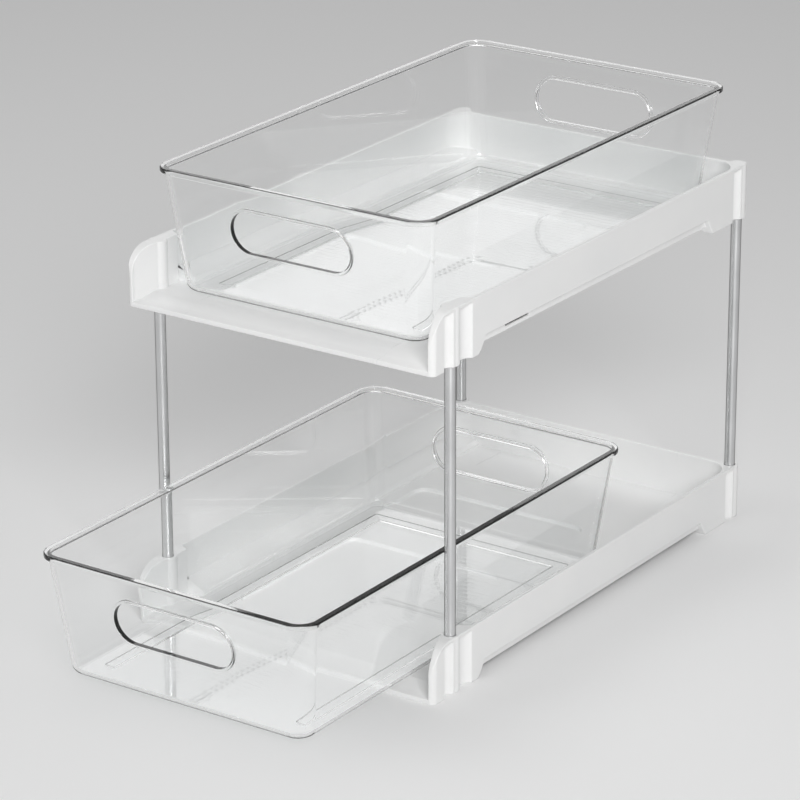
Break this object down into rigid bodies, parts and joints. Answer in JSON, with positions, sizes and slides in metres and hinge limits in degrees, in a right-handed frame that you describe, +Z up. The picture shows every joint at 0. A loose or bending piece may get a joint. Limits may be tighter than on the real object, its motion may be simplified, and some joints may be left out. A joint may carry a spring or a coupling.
{
  "type": "under sink organizer",
  "caption": "Tiered under sink organizer: white open-front trays on slim chrome rods, each with a clear sliding bin that has handle slots.",
  "frame": {"origin": "on the surface the organizer stands on, under the middle of its outline with the lower bin drawn out as stored", "axes": "+Z up, -Y towards the open front from which the bins are drawn, +X to the right seen from the front"},
  "size_m": [0.2164, 0.4534, 0.284],
  "materials": {
    "white_plastic": "satin white moulded plastic",
    "chrome_rod": "polished chrome plate on steel rod",
    "clear_plastic": "clear glossy plastic"
  },
  "bodies": {
    "frame": {"lower_tray": "white_plastic", "upper_tray": "white_plastic", "post_front_left": "chrome_rod", "post_front_right": "chrome_rod", "post_back_left": "chrome_rod", "post_back_right": "chrome_rod"},
    "lower_drawer": {"lower_bin": "clear_plastic"},
    "upper_drawer": {"upper_bin": "clear_plastic"}
  },
  "joints": [
    {"name": "lower_bin_slide", "type": "slide", "parent": "frame", "child": "lower_drawer", "axis": [0, -1, 0], "range_m": [-0.116, 0.124]},
    {"name": "upper_bin_slide", "type": "slide", "parent": "frame", "child": "upper_drawer", "axis": [0, -1, 0], "range_m": [0, 0.24]}
  ]
}
